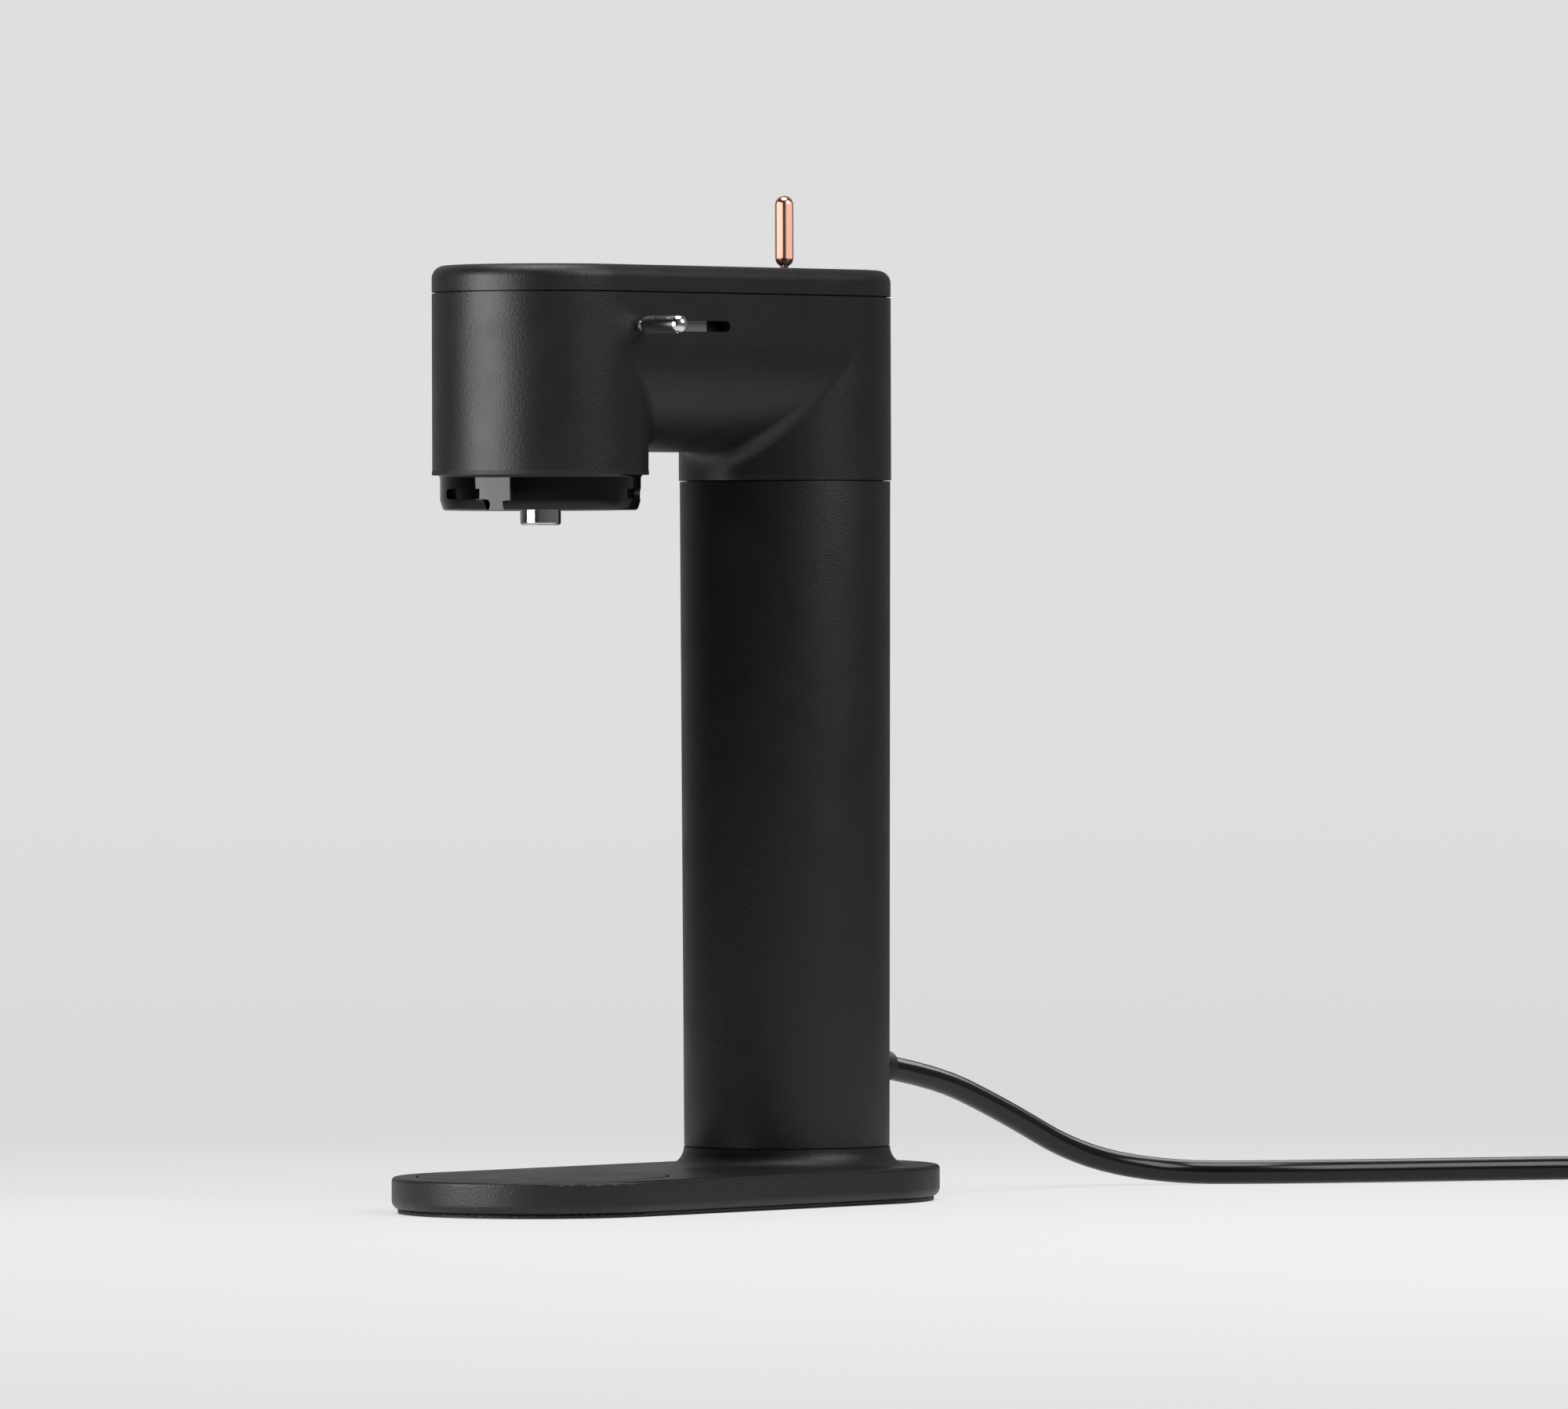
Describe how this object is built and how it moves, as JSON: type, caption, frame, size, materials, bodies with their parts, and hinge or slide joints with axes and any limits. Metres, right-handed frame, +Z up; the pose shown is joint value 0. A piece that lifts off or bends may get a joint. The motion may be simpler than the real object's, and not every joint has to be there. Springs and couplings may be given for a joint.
{
  "type": "soda carbonator",
  "caption": "Countertop soda carbonator: oblong base plate, round gas column, bridge head with bottle collar and nozzle, tilting top lever, sliding side peg and mains cord.",
  "frame": {"origin": "on the foot pad's underside, midway between the bottle axis and the column axis", "axes": "+Z up, -Y towards the bottle, +X towards the wall with the side slot"},
  "size_m": [0.2627, 0.8123, 0.4378],
  "materials": {
    "powder_black": "cast aluminium with fine-grain matte black powder coat",
    "gloss_black": "gloss black moulded nylon",
    "rubber_black": "black rubber",
    "mat_black": "fine-grain black silicone",
    "copper": "polished rose copper plating",
    "chrome": "polished chrome",
    "steel": "machined steel",
    "shutter_grey": "grey moulded plastic",
    "aluminium": "satin aluminium",
    "brass": "machined brass",
    "plastic_dark": "black moulded plastic",
    "plastic_white": "white moulded plastic",
    "board_green": "green circuit board",
    "wire": "insulated wire",
    "cord": "smooth black cord sheath"
  },
  "bodies": {
    "chassis": {"base_plate": "powder_black", "ballast_plate": "steel", "foot_pad": "rubber_black", "base_screws": "steel", "foot_ring": "rubber_black", "column_shell": "powder_black", "joint_ring": "aluminium", "cylinder_guides": "plastic_dark", "terminal_block": "plastic_white", "strain_relief": "rubber_black", "wires": "wire", "mains_cord": "cord", "cord_coil": "cord", "cord_plug": "plastic_dark", "head_casting": "powder_black", "head_lid": "powder_black", "lid_screws": "steel", "carrier_plate": "steel", "valve_block": "brass", "gas_tube": "steel", "nozzle_manifold": "plastic_dark", "nozzle": "chrome", "bottle_collar": "gloss_black", "collar_flange": "rubber_black", "collar_screws": "steel", "bottle_seal": "rubber_black", "solenoid_body": "steel", "board_posts": "plastic_white", "control_board": "board_green", "slider_rail": "plastic_dark", "lever_pin": "steel"},
    "lever": {"lever_capsule": "copper", "lever_core": "steel"},
    "plunger": {"plunger": "brass", "plunger_spring": "steel"},
    "selector": {"slider_plate": "shutter_grey", "peg_stem": "steel", "side_peg": "chrome"},
    "gas": {"gas_cylinder": "aluminium", "cylinder_valve": "brass"},
    "cover": {"bottom_cover": "plastic_dark"},
    "mat": {"bottle_mat": "mat_black"},
    "core": {"solenoid_core": "steel"},
    "relief": {"relief_poppet": "brass"}
  },
  "joints": [
    {"name": "lever_tilt", "type": "hinge", "parent": "chassis", "child": "lever", "pos_m": [0, 0.076, 0.3975], "axis": [1, 0, 0], "range_deg": [0, 12], "stiffness_Nm_per_rad": 0.4, "springref_deg": -5.73},
    {"name": "plunger_press", "type": "slide", "parent": "chassis", "child": "plunger", "axis": [0, 0, -1], "range_m": [0, 0.00294], "deforming": ["plunger_spring"]},
    {"name": "peg_slide", "type": "slide", "parent": "chassis", "child": "selector", "axis": [0, 1, 0], "range_m": [0, 0.0527]},
    {"name": "cylinder_turn", "type": "hinge", "parent": "chassis", "child": "gas", "pos_m": [0, 0.076, 0.2], "axis": [0, 0, 1], "range_deg": [0, 90]},
    {"name": "cover_turn", "type": "hinge", "parent": "chassis", "child": "cover", "pos_m": [0, 0.076, 0.003], "axis": [0, 0, 1], "range_deg": [0, 90]},
    {"name": "mat_lift", "type": "slide", "parent": "chassis", "child": "mat", "axis": [0, 0, 1], "range_m": [0, 0.02]},
    {"name": "core_pull", "type": "slide", "parent": "chassis", "child": "core", "axis": [0, 0, 1], "range_m": [0, 0.002], "stiffness_N_per_m": 200, "springref_m": -0.002},
    {"name": "relief_lift", "type": "slide", "parent": "chassis", "child": "relief", "axis": [0, 0, 1], "range_m": [0, 0.0015], "stiffness_N_per_m": 400, "springref_m": -0.002}
  ],
  "couplings": [
    {"joint": "plunger_press", "follows": "lever_tilt", "m_per_rad": 0.014}
  ]
}
